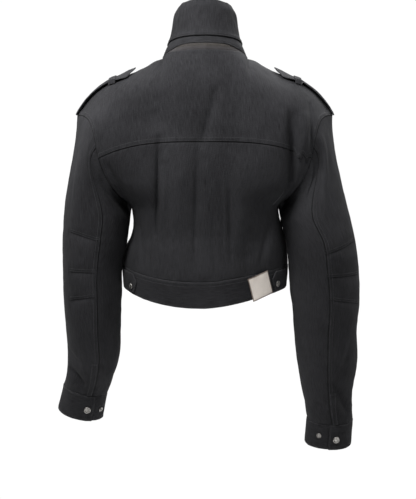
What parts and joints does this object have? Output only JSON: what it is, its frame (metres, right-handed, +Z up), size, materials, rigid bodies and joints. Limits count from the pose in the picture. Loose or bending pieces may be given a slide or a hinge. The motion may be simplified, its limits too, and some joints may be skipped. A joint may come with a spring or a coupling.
{
  "type": "denim jacket",
  "caption": "Cropped charcoal denim jacket, worn and hollow: yoke, funnel collar over a zip, epaulettes, waistband with tabs, long sleeves with snap cuffs.",
  "frame": {"origin": "middle of the neck's base, where the wearer's shoulders and neck hold the jacket up", "axes": "+Z up, +X to the wearer's left, the jacket's front faces -Y and its back +Y"},
  "size_m": [0.628, 0.2708, 0.9276],
  "materials": {
    "denim": "washed charcoal twill, matt",
    "zip_tape": "woven brown-grey tape",
    "old_metal": "antiqued silver",
    "patch_cloth": "off-white woven cloth, bare"
  },
  "bodies": {
    "jacket": {"back_panel": "denim", "back_yoke": "denim", "collar_back": "denim", "collar_band": "denim", "collar_left": "denim", "collar_right": "denim", "collar_zip_slider": "old_metal", "collar_zip_tape": "zip_tape", "cuff_left": "denim", "cuff_right": "denim", "cuff_snap_left": "old_metal", "cuff_snap_right": "old_metal", "cuff_stud_left": "old_metal", "cuff_stud_right": "old_metal", "epaulette_left": "denim", "epaulette_loop_left": "denim", "epaulette_loop_right": "denim", "epaulette_right": "denim", "front_left": "denim", "front_placket": "denim", "front_right": "denim", "front_snap_01": "old_metal", "front_snap_02": "old_metal", "front_snap_03": "old_metal", "front_snap_04": "old_metal", "front_snap_05": "old_metal", "front_snap_06": "old_metal", "front_snap_07": "old_metal", "patch": "patch_cloth", "sleeve_left_top": "denim", "sleeve_left_under": "denim", "sleeve_placket_left": "denim", "sleeve_placket_right": "denim", "sleeve_right_top": "denim", "sleeve_right_under": "denim", "waist_button_left": "old_metal", "waist_button_right": "old_metal", "waist_tab_left": "denim", "waist_tab_right": "denim", "waistband_back": "denim", "waistband_left": "denim", "waistband_right": "denim"},
    "zip_pull": {"collar_zip_pull": "old_metal"}
  },
  "joints": [
    {"name": "zip_pull_swing", "type": "hinge", "parent": "jacket", "child": "zip_pull", "pos_m": [0.07121, -0.04572, -0.00138], "axis": [-0.3825, -0.0236, 0.9237], "range_deg": [0, 150]}
  ]
}
